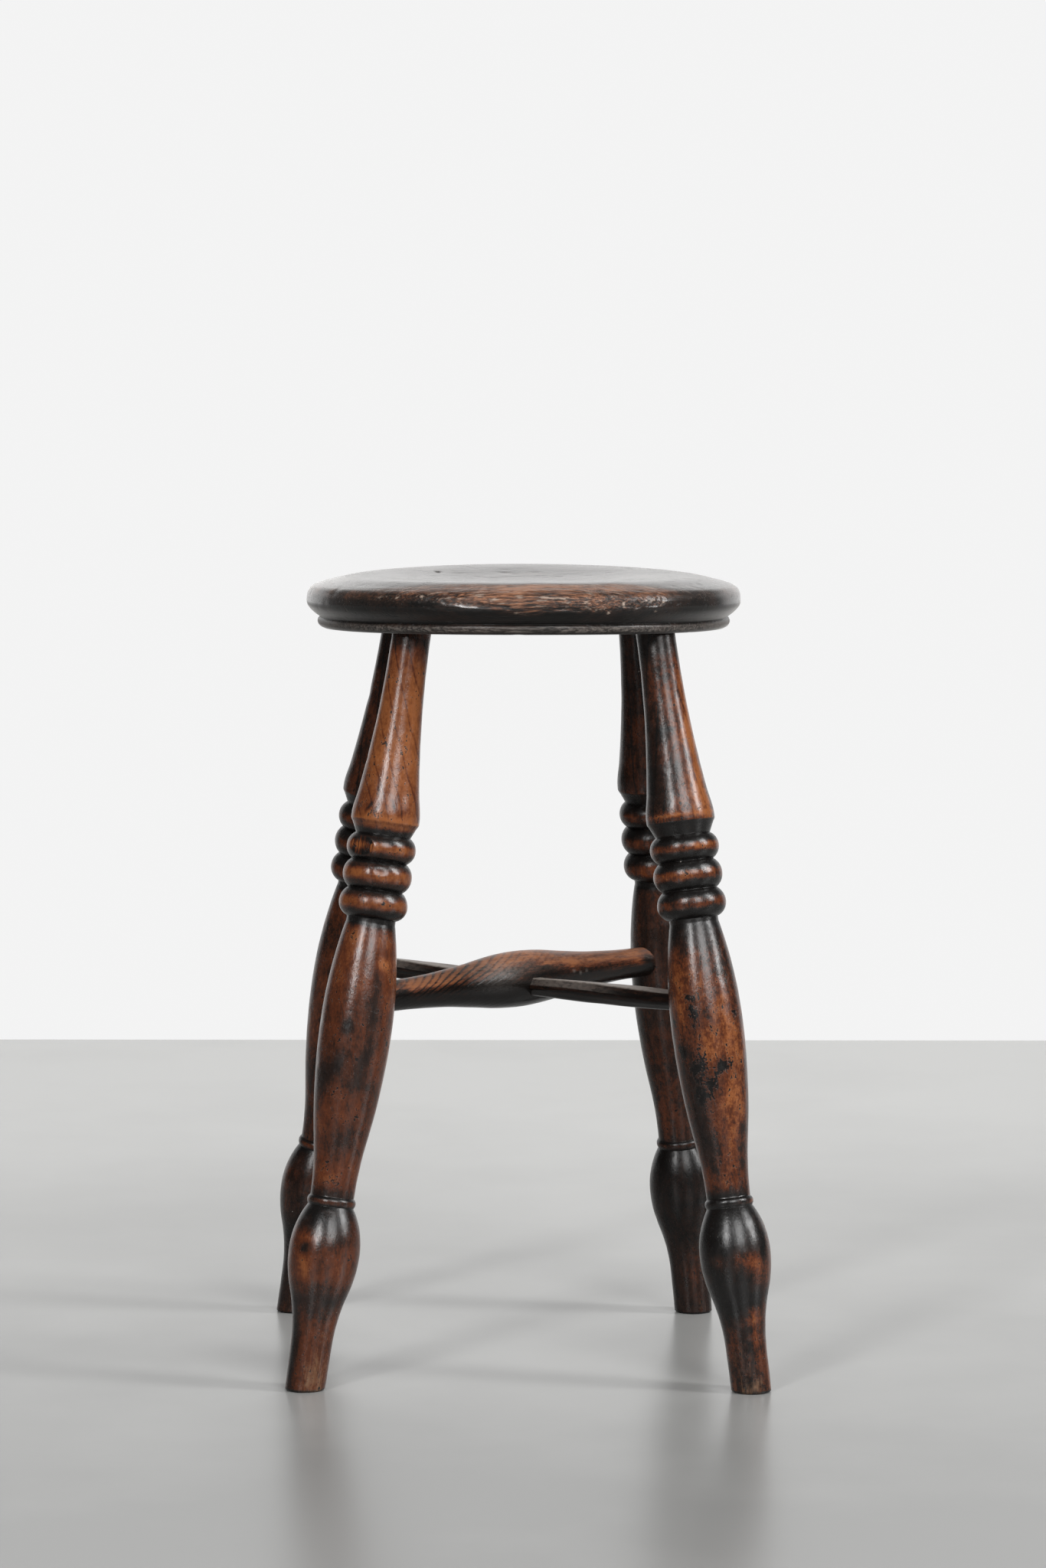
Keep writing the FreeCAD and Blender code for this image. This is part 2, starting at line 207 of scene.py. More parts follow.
def outline_rows(depths, radii):
    """Depths and radii along a turned outline, in steps that shorten where it bends."""
    fine = np.arange(0, depths[-1], CELL / 2)
    radius = hermite(fine, depths, radii)
    lengths = np.hypot(np.diff(fine), np.diff(radius))
    slopes = np.arctan2(np.diff(radius), np.diff(fine))
    turns = np.minimum(np.abs(np.diff(slopes, prepend=slopes[:1])), 2 * ROW_TURN)
    run = np.concatenate([[0], np.cumsum(lengths / ROW_STEP + turns / ROW_TURN)])
    at = np.linspace(0, run[-1], int(run[-1]) + 1)
    return np.interp(at, run, fine), np.interp(at, run, radius)


def ring_at(angles):
    """Points of a unit circle across Z, at angles."""
    return np.stack([np.cos(angles), np.sin(angles), np.zeros_like(angles)], axis=-1)


def circle(sides):
    """Points evenly spread round a unit circle across Z."""
    return ring_at(np.linspace(0, 2 * math.pi, sides, endpoint=False))


def to_pixels(points):
    """Where points in the shared frame fall in the photograph."""
    turn = np.array(Euler(CAMERA_TURN).to_matrix())
    seen = (points - np.array(CAMERA_PLACE)) @ turn
    focal = LENS / SENSOR * IMAGE_HEIGHT
    return np.stack([
        IMAGE_WIDTH / 2 - focal * seen[..., 0] / seen[..., 2],
        IMAGE_HEIGHT / 2 + focal * seen[..., 1] / seen[..., 2],
    ], axis=-1)


def put(name, data):
    """Add an object to the scene."""
    piece = bpy.data.objects.new(name, data)
    bpy.context.scene.collection.objects.link(piece)
    return piece


# How squarely a point has to look the brush's way, and the share of a cut's reach over which it fades
BRUSH_SQUARE = 0.3
CUT_FADE = 0.08
# Dents: their sizes in millimetres, and their depths as shares of these
DENT_SIZES = (1.5, 5.0)
DENT_DEPTHS = (0.03, 0.09)


class Skin:
    """A closed surface of rows and sides in a piece's own frame, with paint on its points."""

    def __init__(self, points, place, grain):
        self.points = points
        self.place = place
        self.grain = np.array(grain, float)
        self.paint = {}
        self.look()

    def look(self):
        """Work out the normals, and where the points show in the photograph."""
        turn = self.place[:3, :3].T
        round_it = np.roll(self.points, -1, axis=1) - np.roll(self.points, 1, axis=1)
        normals = np.cross(round_it, np.gradient(self.points, axis=0))
        self.areas = np.linalg.norm(normals, axis=-1)
        self.normals = normals / np.maximum(self.areas[..., None], TINY)
        self.world = self.points @ turn + self.place[:3, 3]
        self.pixels = to_pixels(self.world)
        towards = np.array(CAMERA_PLACE) - self.world
        outward = self.normals @ turn
        self.facing = (towards * outward).sum(axis=-1) > 0
        self.rearward, self.upward = outward[..., 1], outward[..., 2]

    def spot(self, pixel):
        """Index of the point that shows at a pixel."""
        miss = np.linalg.norm(self.pixels - np.array(pixel), axis=-1)
        return np.unravel_index(np.argmin(np.where(self.facing, miss, np.inf)), miss.shape)

    def brush(self, pixel, across, along, lean=0.0):
        """Soft oval of strength round the point that shows at a pixel, leaning in degrees off the grain."""
        spot = self.spot(pixel)
        normal = self.normals[spot]
        side = np.cross(normal, self.grain)
        side /= np.linalg.norm(side)
        turn = math.radians(lean)
        offset = self.points - self.points[spot]
        length = offset @ (math.cos(turn) * self.grain + math.sin(turn) * side)
        width = np.sqrt(np.maximum((offset**2).sum(axis=-1) - length**2, 0))
        same_side = smooth_step(self.normals @ normal, 0.0, BRUSH_SQUARE)
        return np.exp(-((width / across) ** 2) - (length / along) ** 2) * same_side

    def mark(self, marks):
        """Brush marks onto the paint, listed as those on the legs are."""
        for layer, rows in marks.items():
            for pixel, across, along, strength, *lean in rows:
                self.paint[layer] += strength * self.brush(pixel, across * MM, along * MM, *lean)

    def press(self, depths):
        """Move the surface inwards by a depth at each point."""
        self.points = self.points - self.normals * depths[..., None]
        self.look()

    def shave(self, pixel, depth, reach):
        """Cut a flat at a depth under the point that shows at a pixel, and return the depth of the cut."""
        spot = self.spot(pixel)
        offset = self.points - self.points[spot]
        near = smooth_step(reach - np.linalg.norm(offset, axis=-1), 0, CUT_FADE * reach)
        cut = np.maximum(offset @ self.normals[spot] + depth, 0) * near
        self.points = self.points - self.normals[spot] * cut[..., None]
        self.look()
        return cut

    def dent(self, seed, count):
        """Press small seeded dents into the whole surface, evenly spread."""
        draw = np.random.default_rng(seed)
        chances = self.areas.ravel() / self.areas.sum()
        depths = np.zeros(self.areas.shape)
        for middle in self.points.reshape(-1, 3)[draw.choice(chances.size, count, p=chances)]:
            size = draw.uniform(*DENT_SIZES) * MM
            depth = draw.uniform(*DENT_DEPTHS) * size
            gap = np.linalg.norm(self.points - middle, axis=-1)
            depths += depth * bell(gap, 0, size)
        self.press(depths)

    def build(self, name, material):
        """Make the mesh, its paint and its object."""
        rows, sides = self.points.shape[:2]
        index = np.arange(rows * sides).reshape(rows, sides)
        quads = np.stack([
            index[:-1],
            np.roll(index[:-1], -1, axis=1),
            np.roll(index[1:], -1, axis=1),
            index[1:],
        ], axis=-1).reshape(-1, 4)
        faces = quads.tolist() + [index[0][::-1].tolist(), index[-1].tolist()]
        mesh = bpy.data.meshes.new(name)
        mesh.from_pydata(self.world.reshape(-1, 3).tolist(), [], faces)
        mesh.polygons.foreach_set("use_smooth", np.ones(len(faces), dtype=bool))
        mesh.set_sharp_from_angle(angle=SHARP_EDGE)
        own = mesh.attributes.new("own", "FLOAT_VECTOR", "POINT")
        own.data.foreach_set("vector", self.points.astype(np.float32).ravel())
        for layer, amount in self.paint.items():
            attribute = mesh.attributes.new(layer, "FLOAT", "POINT")
            attribute.data.foreach_set("value", np.clip(amount, -1, 2).astype(np.float32).ravel())
        mesh.materials.append(material)
        mesh.validate()
        mesh.update()
        return put(name, mesh)


class Nodes:
    """A material's nodes, made by short calls that return the socket to link on."""

    def __init__(self, name):
        self.material = bpy.data.materials.new(name)
        self.material.use_nodes = True
        self.tree = self.material.node_tree
        self.shader = self.tree.nodes["Principled BSDF"]

    def feed(self, socket, value):
        if isinstance(value, bpy.types.NodeSocket):
            self.tree.links.new(value, socket)
        else:
            socket.default_value = value

    def add(self, kind, inputs, **settings):
        node = self.tree.nodes.new(kind)
        for setting, value in settings.items():
            setattr(node, setting, value)
        for socket, value in inputs.items():
            self.feed(node.inputs[socket], value)
        return node

    def place(self, scale=(1, 1, 1), shift=(0, 0, 0), turn=(0, 0, 0)):
        """The piece's own coordinates in metres, shifted, turned and stretched."""
        own = self.add("ShaderNodeAttribute", {}, attribute_name="own").outputs["Vector"]
        inputs = {"Vector": own, "Location": shift, "Rotation": turn, "Scale": scale}
        return self.add("ShaderNodeMapping", inputs).outputs["Vector"]

    def noise(self, vector, scale, detail=3.0, roughness=0.55):
        inputs = {"Vector": vector, "Scale": scale, "Detail": detail, "Roughness": roughness}
        return self.add("ShaderNodeTexNoise", inputs).outputs["Fac"]

    def rings(self, vector, scale, distortion, detail_scale):
        """Growth rings round Z, each rising from 0 to 1 and falling sharply."""
        inputs = {
            "Vector": vector, "Scale": scale, "Distortion": distortion,
            "Detail": 2.5, "Detail Scale": detail_scale, "Detail Roughness": 0.55,
        }
        settings = {"wave_type": "RINGS", "rings_direction": "Z", "wave_profile": "SAW"}
        return self.add("ShaderNodeTexWave", inputs, **settings).outputs["Fac"]

    def specks(self, vector, scale, size, extra, rarity):
        """Rare small dots, less rare where there is extra."""
        cells = self.add("ShaderNodeTexVoronoi", {"Vector": vector, "Scale": scale})
        chance = self.add("ShaderNodeSeparateColor", {"Color": cells.outputs["Color"]}).outputs["Red"]
        return self.times(
            self.level(cells.outputs["Distance"], 0.6 * size, size, 1.0, 0.0),
            self.level(self.total(chance, extra), rarity, rarity + 0.001),
        )

    def level(self, value, low, high, first=0.0, last=1.0):
        """First where a value is below low, last where it is above high, and eased between."""
        inputs = {"Value": value, "From Min": low, "From Max": high, "To Min": first, "To Max": last}
        return self.add("ShaderNodeMapRange", inputs, interpolation_type="SMOOTHSTEP").outputs["Result"]

    def total(self, *values):
        result = values[0]
        for value in values[1:]:
            result = self.add("ShaderNodeMath", {0: result, 1: value}, operation="ADD").outputs[0]
        return result

    def times(self, first, second):
        return self.add("ShaderNodeMath", {0: first, 1: second}, operation="MULTIPLY").outputs[0]

    def swing(self, value, amount):
        """A noise's value turned into an offset of about plus or minus an amount."""
        return self.level(value, 0.25, 0.75, -amount, amount)

    def mix(self, share, first, second):
        """One colour blended into another. A Mix node's colours are its inputs 6 and 7 and its output 2."""
        inputs = {0: share, 6: first, 7: second}
        return self.add("ShaderNodeMix", inputs, data_type="RGBA").outputs[2]

    def ramp(self, value, stops):
        """Colour that follows a value through stops of a place and a colour."""
        node = self.add("ShaderNodeValToRGB", {"Fac": value})
        elements = node.color_ramp.elements
        while len(elements) < len(stops):
            elements.new(1.0)
        for element, (place, colour) in zip(elements, stops):
            element.position = place
            element.color = colour
        return node.outputs["Color"]

    def paint(self, layer):
        return self.add("ShaderNodeAttribute", {}, attribute_name=layer).outputs["Fac"]

    def bumps(self, *layers):
        """Normal after layers of a height and the distance it stands for."""
        normal = None
        for height, distance in layers:
            inputs = {"Height": height, "Distance": distance}
            if normal is not None:
                inputs["Normal"] = normal
            normal = self.add("ShaderNodeBump", inputs).outputs["Normal"]
        return normal

    def finish(self, colour, roughness, normal, **uniform):
        """Link what varies to the shader, and set what is the same all over."""
        self.feed(self.shader.inputs["Base Color"], colour)
        self.feed(self.shader.inputs["Roughness"], roughness)
        self.feed(self.shader.inputs["Normal"], normal)
        for socket, value in uniform.items():
            self.shader.inputs[socket.replace("_", " ")].default_value = value
        return self.material


def build_camera():
    camera = put("camera", bpy.data.cameras.new("camera"))
    camera.data.lens = LENS
    camera.data.sensor_width = SENSOR
    camera.location = CAMERA_PLACE
    camera.rotation_euler = CAMERA_TURN
    bpy.context.scene.camera = camera


# Stage: a polished grey floor that ends behind the stool, and a white backdrop out of the way of back views
FLOOR_END = 1.78
FLOOR_REACH = 30.0
BACKDROP_DISTANCE = 5.2
BACKDROP_HALF_WIDTH = 6.0
BACKDROP_LOW, BACKDROP_HIGH = -3.0, 3.0
WHITE = (0.9, 0.9, 0.9, 1)
BACKDROP_ROUGHNESS = 0.8
# The floor pales from its dark colour near the camera to its pale one far off: painted light, for the
# backdrop's brighter reflection far off
FLOOR_DARK = (0.205, 0.205, 0.2, 1)
FLOOR_PALE = (0.36, 0.36, 0.35, 1)
FLOOR_DARK_UP_TO, FLOOR_PALE_FROM = -0.9, 1.6
FLOOR_CLOUDING = 0.15
FLOOR_ROUGHNESS = 0.28


def flat_piece(name, corners, material):
    mesh = bpy.data.meshes.new(name)
    mesh.from_pydata(corners, [], [list(range(len(corners)))])
    mesh.materials.append(material)
    piece = put(name, mesh)


def build_stage():
    """A polished floor whose colour pales away from the camera as painted light, and a backdrop that shows
    white to the camera and in reflections.
    """
    floor = Nodes("floor_grey")
    spread = floor.add("ShaderNodeTexCoord", {}).outputs["Object"]
    away = floor.add("ShaderNodeSeparateXYZ", {"Vector": spread}).outputs["Y"]
    cloud = floor.noise(spread, 2.5, 5.0, 0.6)
    # Painted light: the floor's colour pales away from the camera
    painted_far_light = floor.level(away, FLOOR_DARK_UP_TO, FLOOR_PALE_FROM)
    share = floor.total(painted_far_light, floor.swing(cloud, FLOOR_CLOUDING))
    floor.feed(floor.shader.inputs["Base Color"], floor.mix(share, FLOOR_DARK, FLOOR_PALE))
    floor.shader.inputs["Roughness"].default_value = FLOOR_ROUGHNESS
    far, end = FLOOR_REACH, FLOOR_END
    flat_piece("floor", [(-far, -far, 0), (far, -far, 0), (far, end, 0), (-far, end, 0)], floor.material)

    wall = Nodes("backdrop_white")
    wall.shader.inputs["Base Color"].default_value = WHITE
    wall.shader.inputs["Roughness"].default_value = BACKDROP_ROUGHNESS
    path = wall.add("ShaderNodeLightPath", {})
    rays = [path.outputs[f"Is {kind} Ray"] for kind in ("Camera", "Glossy", "Transmission")]
    glow = wall.add("ShaderNodeEmission", {"Color": WHITE, "Strength": 1.0})
    inputs = {0: wall.total(*rays), 1: wall.shader.outputs[0], 2: glow.outputs[0]}
    shown = wall.add("ShaderNodeMixShader", inputs)
    wall.tree.links.new(shown.outputs[0], wall.tree.nodes["Material Output"].inputs["Surface"])
    wide, back, low, high = BACKDROP_HALF_WIDTH, BACKDROP_DISTANCE, BACKDROP_LOW, BACKDROP_HIGH
    corners = [(-wide, back, low), (wide, back, low), (wide, back, high), (-wide, back, high)]
    flat_piece("backdrop", corners, wall.material)


# Tall soft lamps before the stool: degrees off the front, height, width, tallness and power
WINDOWS = (
    ("left_window", -28.0, 5.9, 1.6, 5.0, 800.0),
    ("middle_window", 21.0, 6.6, 5.0, 6.4, 1050.0),
    ("right_window", 74.0, 6.6, 2.2, 6.4, 1150.0),
)
WINDOW_DISTANCE = 10.0
FILL_PLACE = (0.0, 6.5, 6.5)
FILL_SIDES = (8.0, 4.0)
FILL_POWER = 450.0
LIT_POINT = Vector((0, 0, 0.4))
ROOM_LIGHT = 0.09


def area_lamp(name, place, sides, power):
    lamp = bpy.data.lights.new(name, "AREA")
    lamp.shape = "RECTANGLE"
    lamp.size, lamp.size_y = sides
    lamp.energy = power
    piece = put(name, lamp)
    piece.location = place
    piece.rotation_euler = (LIT_POINT - piece.location).to_track_quat("-Z", "Y").to_euler()
    piece.visible_camera = False
    return piece


def build_lights():
    world = bpy.data.worlds.new("room")
    world.use_nodes = True
    background = world.node_tree.nodes["Background"]
    background.inputs["Color"].default_value = (1, 1, 1, 1)
    background.inputs["Strength"].default_value = ROOM_LIGHT
    bpy.context.scene.world = world
    for name, turn, height, width, tall, power in WINDOWS:
        away = math.radians(turn)
        place = (WINDOW_DISTANCE * math.sin(away), -WINDOW_DISTANCE * math.cos(away), height)
        area_lamp(name, place, (width, tall), power)
    fill = area_lamp("back_fill", FILL_PLACE, FILL_SIDES, FILL_POWER)
    fill.visible_glossy = False


# Colours of the wood, in linear light, from black, where dirt and painted shade lie, to worn wood
BLACK = (0.0035, 0.0028, 0.0025, 1)
DARK_STAIN = (0.016, 0.007, 0.0045, 1)
RED_BROWN = (0.075, 0.02, 0.0072, 1)
ORANGE_BROWN = (0.2, 0.066, 0.02, 1)
BARE_TAN = (0.115, 0.058, 0.027, 1)
DUST_GREY = (0.165, 0.143, 0.127, 1)
PALE_SPECK = (0.45, 0.41, 0.37, 1)
# Pale of scraped fibres and chips, also used for the seat's painted glints
SCRAPED_AND_GLINT = (0.29, 0.225, 0.18, 1)
WOOD_STOPS = ((0.08, BLACK), (0.32, DARK_STAIN), (0.62, RED_BROWN), (1.0, ORANGE_BROWN))


def leg_material(name, shift, pith, tilt, patchiness, gloss):
    """Stained and waxed hardwood. Its tone is painted, from 0, black, to 1, worn to orange."""
    nodes = Nodes(name)
    figure = nodes.rings(nodes.place(shift=pith, turn=tilt), 30.0, 2.5, 0.6)
    streaks = nodes.noise(nodes.place((1, 1, 0.06), shift), 900.0, 2.0)
    clouds = nodes.noise(nodes.place((1, 1, 0.55), shift), 50.0, 5.0, 0.6)
    mottle = nodes.noise(nodes.place((1, 1, 0.7), shift[::-1]), 150.0, 5.0, 0.66)
    pepper = nodes.noise(nodes.place((1, 1, 0.7), shift), 520.0, 3.0, 0.7)
    patches = ((clouds, 0.22), (mottle, 0.22), (pepper, 0.18))
    patchy = nodes.total(*(nodes.swing(patch, patchiness * amount) for patch, amount in patches))
    tone = nodes.total(
        nodes.paint("tone"),
        nodes.times(patchy, nodes.level(nodes.paint("tone"), 0.05, 0.6, 0.35, 1.0)),
        nodes.swing(streaks, 0.04),
        nodes.times(nodes.paint("raw"), nodes.swing(streaks, 0.5)),
        nodes.times(nodes.level(figure, 0.82, 0.96, 0.0, -0.2), nodes.paint("figure")),
    )
    colour = nodes.ramp(tone, WOOD_STOPS)
    bare = nodes.total(nodes.paint("bare"), nodes.swing(streaks, 0.16), nodes.swing(mottle, 0.25))
    bare = nodes.level(bare, 0.2, 0.9)
    colour = nodes.mix(bare, colour, BARE_TAN)
    blotch = nodes.total(nodes.paint("blotch"), nodes.swing(mottle, 0.5), nodes.swing(pepper, 0.4))
    blotch = nodes.level(blotch, 0.4, 0.52)
    colour = nodes.mix(blotch, colour, BLACK)
    specks = nodes.specks(nodes.place(shift=shift), 260.0, 0.11, nodes.paint("specks"), 0.988)
    colour = nodes.mix(specks, colour, PALE_SPECK)
    roughness = nodes.level(tone, 0.0, 0.8, 0.29, 0.23)
    roughness = nodes.total(roughness, nodes.times(bare, 0.2), nodes.swing(mottle, 0.05))
    heights = ((streaks, 0.01 * MM), (pepper, 0.15 * MM), (mottle, 0.17 * MM), (blotch, -0.08 * MM))
    return nodes.finish(
        colour, roughness, nodes.bumps(*heights),
        Specular_IOR_Level=gloss, Coat_Weight=0.05, Coat_Roughness=0.15,
    )


# Legs: the rounding of the sole's edge, and the length over which the foot is bent to meet the floor
SOLE_ROUNDING = 1.3 * MM
SOLE_BLEND = 25 * MM
# How wide a hollow and an arris are, and how much their tone and that of high parts and the foot changes
HOLLOW_WIDTH, ARRIS_WIDTH = 6 * MM, 1.2 * MM
HIGH_WEAR, HOLLOW_DARKENING, ARRIS_WEAR = 0.18, 0.75, 0.25
FOOT_LENGTH, FOOT_BARENESS = 42 * MM, 0.12
# How far down the leg the figure starts and stops fading, and how much of it fades
FIGURE_ENDS = (150 * MM, 185 * MM)
FIGURE_LOSS = 0.7


def leg_skin(node, bow):
    """A leg's surface, bowed to the right by a little, with its sole level on the floor."""
    place, depths, radii = turned_outline(node, -UP, BACK)
    depth, radius = outline_rows(depths, radii)
    end = depth[-1]
    edge = np.clip((depth - (end - SOLE_ROUNDING)) / SOLE_ROUNDING, 0, 1)
    rounded = radius - SOLE_ROUNDING * (1 - np.sqrt(1 - edge**2))
    points = rounded[:, None, None] * circle(LEG_SIDES) + depth[:, None, None] * UP
    floor = -(points @ np.append(place[2, :2], 0) + place[2, 3]) / place[2, 2]
    share = np.maximum(depth - (end - SOLE_BLEND), 0)[:, None] / SOLE_BLEND
    points[..., 2] += share * (floor - end)
    bend = bow * np.sin(math.pi * depth / end)
    points += bend[:, None, None] * (place[:3, :3].T @ RIGHT)
    skin = Skin(points, place, (0, 0, 1))
    skin.press(0.1 * MM * noise(points, 45.0) + 0.05 * MM * noise(points, 160.0))
    return skin, depth, radius


def wear_by_shape(skin, depth, radius, base, shade):
    """Tone of a leg from its outline: worn on its high parts, black in its hollows, painted shade on its
    ledges.
    """
    fine = np.arange(0, depth[-1], CELL)
    outline = np.interp(fine, depth, radius)
    rise = radius - np.interp(depth, fine, smoothed(outline, HOLLOW_WIDTH / CELL))
    arris = radius - np.interp(depth, fine, smoothed(outline, ARRIS_WIDTH / CELL))
    worn = HIGH_WEAR * smooth_step(rise, 0.2 * MM, 2.0 * MM)
    # Black in the hollows, darker the deeper they are
    worn -= HOLLOW_DARKENING * smooth_step(-rise, 0.3 * MM, 2.6 * MM)
    worn += ARRIS_WEAR * smooth_step(arris, 0.1 * MM, 0.4 * MM)
    foot = smooth_step(depth, depth[-1] - FOOT_LENGTH, depth[-1])
    fading = smooth_step(depth, *FIGURE_ENDS)
    blank = np.zeros(skin.points.shape[:2])
    skin.paint["tone"] = base + worn[:, None] + blank
    # Painted shade: the tone darkens where the faces turn up or down, with a ragged edge
    ragged = 0.12 * noise(skin.points, 55.0) + 0.08 * noise(skin.points, 160.0)
    skin.paint["tone"] -= shade * smooth_step(np.abs(skin.normals[..., 2]) + ragged, 0.16, 0.55)
    skin.paint["bare"] = FOOT_BARENESS * base * foot[:, None] + blank
    skin.paint["figure"] = 1 - FIGURE_LOSS * fading[:, None] + blank
    for layer in ("blotch", "raw", "specks"):
        skin.paint[layer] = blank.copy()


# Marks on the legs, by layer of paint: the pixel where each shows, its half sizes across and along the grain
# in millimetres, its strength, and its lean off the grain in degrees where it has one
LEG_MARKS = {
    "front_left_leg": {
        "tone": (
            # Painted shade where the leg meets the seat, with grime
            ((530, 836), 30, 9, -0.4),
            # Lighter tone on the taper: worn wood, and partly a painted highlight where its sheen and lit
            # right side show
            ((510, 960), 30, 60, 0.19),
            ((540, 930), 8, 70, 0.16),
            ((505, 1077), 40, 5.5, 0.42),
            ((505, 1098), 40, 3, -0.2),
            ((495, 1030), 1.0, 6, -0.5, 12),
            ((484, 1052), 1.2, 5, -0.45, -30),
            ((491, 1056), 1.2, 5, -0.45, -30),
            ((515, 1055), 1.0, 6, -0.4, 20),
            ((478, 1050), 7, 7, -0.14),
            ((500, 1205), 40, 9, -0.4),
            ((450, 1400), 45, 75, -0.23),
            ((501, 1260), 7, 5, 0.35),
            ((465, 1221), 7, 9, 0.2),
            ((487, 1322), 5, 22, -0.32),
            ((492, 1280), 5, 14, -0.2, 20),
            ((455, 1341), 5, 6, -0.35),
            ((440, 1393), 5, 10, -0.25, -30),
            ((477, 1386), 6, 14, -0.3, -20),
            ((420, 1408), 7, 16, -0.28, -20),
            ((470, 1418), 12, 7, -0.2),
            ((423, 1452), 9, 18, 0.14, -25),
            ((452, 1488), 7, 16, -0.24, -15),
            ((425, 1560), 30, 7, -0.3),
            ((430, 1598), 40, 18, -0.28),
            ((398, 1650), 8, 14, 0.3),
            ((400, 1618), 7, 6, 0.25),
            ((397, 1631), 4, 4.5, -0.5),
            ((436, 1648), 16, 9, 0.1, -40),
            ((430, 1640), 40, 30, -0.14),
            ((410, 1770), 40, 50, -0.24),
            ((425, 1700), 30, 12, -0.12),
            ((383, 1750), 6, 60, -0.4),
        ),
        "bare": (
            ((383, 1770), 6, 50, -0.7),
            ((412, 1800), 12, 18, 0.5),
            ((428, 1740), 8, 22, 0.25),
        ),
    },
    "front_right_leg": {
        "tone": (
            # Painted shade where the leg meets the seat, with grime
            ((860, 840), 30, 14, -0.35),
            ((848, 960), 10, 75, -0.32),
            ((899, 940), 8, 50, 0.34),
            ((912, 1010), 8, 40, 0.34),
            ((885, 1005), 8, 14, -0.2),
            ((869, 957), 7, 5, -0.3),
            ((869, 953), 6, 1.5, -0.5),
            ((916, 1046), 9, 16, 0.3),
            ((852, 1030), 14, 22, -0.25),
            ((888, 1064), 40, 1.6, 0.5),
            ((890, 1083), 40, 6, -0.5),
            ((922, 1102), 12, 3.5, 0.2),
            ((900, 1140), 16, 2.5, 0.12),
            ((925, 1183), 12, 3.5, 0.15),
            ((880, 1180), 10, 8, -0.2),
            ((905, 1212), 40, 16, -0.4),
            ((872, 1260), 6, 50, -0.25),
            ((934, 1362), 16, 32, 0.3),
            ((958, 1352), 9, 40, 0.22),
            ((888, 1310), 4, 22, 0.3),
            ((918, 1478), 10, 42, -0.3),
            ((956, 1470), 9, 40, 0.16),
            ((945, 1566), 30, 6, -0.4),
            ((945, 1605), 40, 20, -0.42),
            ((945, 1648), 45, 20, -0.4),
            ((977, 1648), 14, 8, 0.48, -30),
            ((938, 1650), 8, 5, 0.26),
            ((950, 1700), 30, 22, -0.3),
            ((970, 1780), 40, 45, -0.16),
            ((984, 1718), 6, 7, 0.5),
            ((988, 1752), 4, 14, 0.3),
        ),
        "specks": (
            ((905, 1125), 22, 8, 0.1),
            ((905, 1160), 22, 8, 0.1),
        ),
        "blotch": (
            ((954, 1600), 1.0, 9, 0.6, -22),
            ((903, 1322), 5, 13, 0.62),
            ((893, 1374), 4, 5, 0.75),
            ((912, 1394), 7, 9, 0.7),
            ((944, 1391), 9, 5, 0.75),
            ((932, 1416), 4, 7, 0.75, 25),
            ((917, 1430), 7, 8, 0.65),
            ((880, 1335), 4, 4, 0.6),
            ((958, 1324), 4, 4, 0.7),
            ((915, 1480), 9, 26, 0.18),
            ((912, 1395), 24, 34, 0.12),
        ),
        "bare": (
            ((982, 1814), 12, 7, 0.45),
            ((965, 1780), 6, 22, 0.2),
        ),
    },
    "back_left_leg": {
        "tone": (
            ((395, 1640), 40, 30, -0.26),
            ((412, 1330), 40, 60, 0.14),
        ),
    },
    "back_right_leg": {
        "tone": (
            ((880, 1560), 40, 34, -0.24),
            ((900, 1690), 40, 40, -0.14),
            ((908, 1672), 10, 28, 0.12),
            ((868, 1434), 9, 30, 0.14),
            ((830, 930), 10, 60, 0.1),
        ),
    },
}

# Each leg's base tone, how much painted shade darkens its ledges, its bow, its patchiness, its gloss, and
# the shift and turn of its growth rings
LEGS = (
    ("front_left_leg", 0.69, 0.4, 0.0, 0.55, 0.37, (0.05, 0.02, 0.0), (0.0, 0.35, 0.0)),
    ("front_right_leg", 0.54, 0.65, 1.7 * MM, 1.0, 0.37, (0.02, 0.06, 0.0), (0.1, -0.06, 0.0)),
    ("back_left_leg", 0.38, 0.25, 0.0, 0.7, 0.2, (0.06, 0.03, 0.0), (0.04, 0.05, 0.0)),
    ("back_right_leg", 0.33, 0.25, 0.0, 0.8, 0.2, (0.03, 0.05, 0.0), (-0.07, 0.04, 0.0)),
)
# Base tone of the far side of a leg that is darker in front
FAR_SIDE_TONE = 0.5
LEG_DENTS = 60
TEXTURE_STEP = (0.37, 0.81, 0.53)

# A chip and a dent on two beads of one leg, at the pixels where they show
CHIPPED_LEG = "front_left_leg"
BEAD_CHIP = (470, 1103)
CHIP_DEPTH = 2.5 * MM
CHIP_REACH = 12.5 * MM
CHIP_SHADE = 0.12
BEAD_DENT = (496, 1139)
BEAD_DENT_DEPTH = 0.8 * MM
BEAD_DENT_SIZES = (4.5 * MM, 2.5 * MM)


def chip_beads(skin):
    cut = skin.shave(BEAD_CHIP, CHIP_DEPTH, CHIP_REACH)
    skin.paint["raw"] = smooth_step(cut, 0, 0.2 * MM)
    skin.paint["tone"] -= CHIP_SHADE * skin.paint["raw"]
    skin.press(BEAD_DENT_DEPTH * skin.brush(BEAD_DENT, *BEAD_DENT_SIZES))


def build_leg(number, node, base, shade, bow, patchiness, gloss, pith, tilt):
    skin, depth, radius = leg_skin(node, bow)
    wear_by_shape(skin, depth, radius, base, shade)
    skin.mark(LEG_MARKS[node])
    skin.paint["tone"] += max(FAR_SIDE_TONE - base, 0) * smooth_step(skin.rearward, 0.0, 0.5)
    skin.dent(number, LEG_DENTS)
    if node == CHIPPED_LEG:
        chip_beads(skin)
    shift = tuple(number * step for step in TEXTURE_STEP)
    material = leg_material(f"{node}_wood", shift, pith, tilt, patchiness, gloss)
    piece = skin.build(f"{node}_turned", material)
    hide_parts(node)
    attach(piece, "root")


